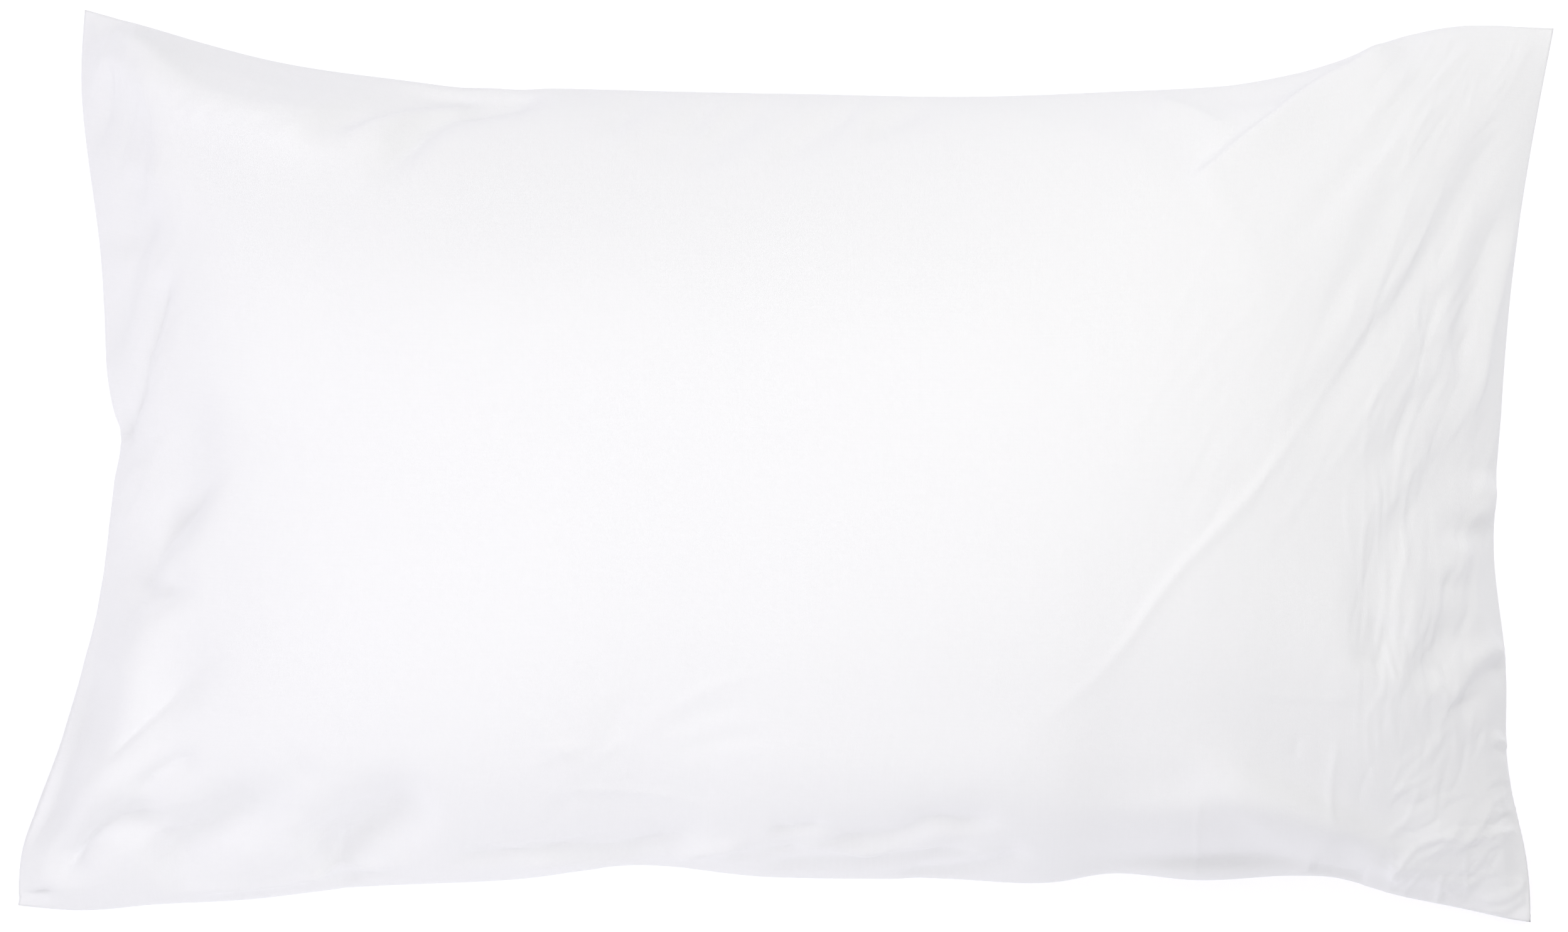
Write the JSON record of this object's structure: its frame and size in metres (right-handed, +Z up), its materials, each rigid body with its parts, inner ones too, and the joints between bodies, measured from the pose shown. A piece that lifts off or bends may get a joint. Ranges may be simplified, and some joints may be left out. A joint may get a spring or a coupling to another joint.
{
  "type": "filled pillowcase",
  "caption": "Plain white pillowcase on its filling, lying on its back, with a soft crown, drawn-in sides, thin corner ears and a slack open end.",
  "frame": {"origin": "middle of the bounding box, at the surface that the pillowcase lies on", "axes": "+X along the length towards the slack open end, +Y across the width, +Z up out of the front"},
  "size_m": [0.818, 0.485, 0.1732],
  "materials": {
    "white_cotton": "matte plain-woven cotton"
  },
  "bodies": {
    "root": {"pillowcase": "white_cotton"}
  },
  "joints": []
}
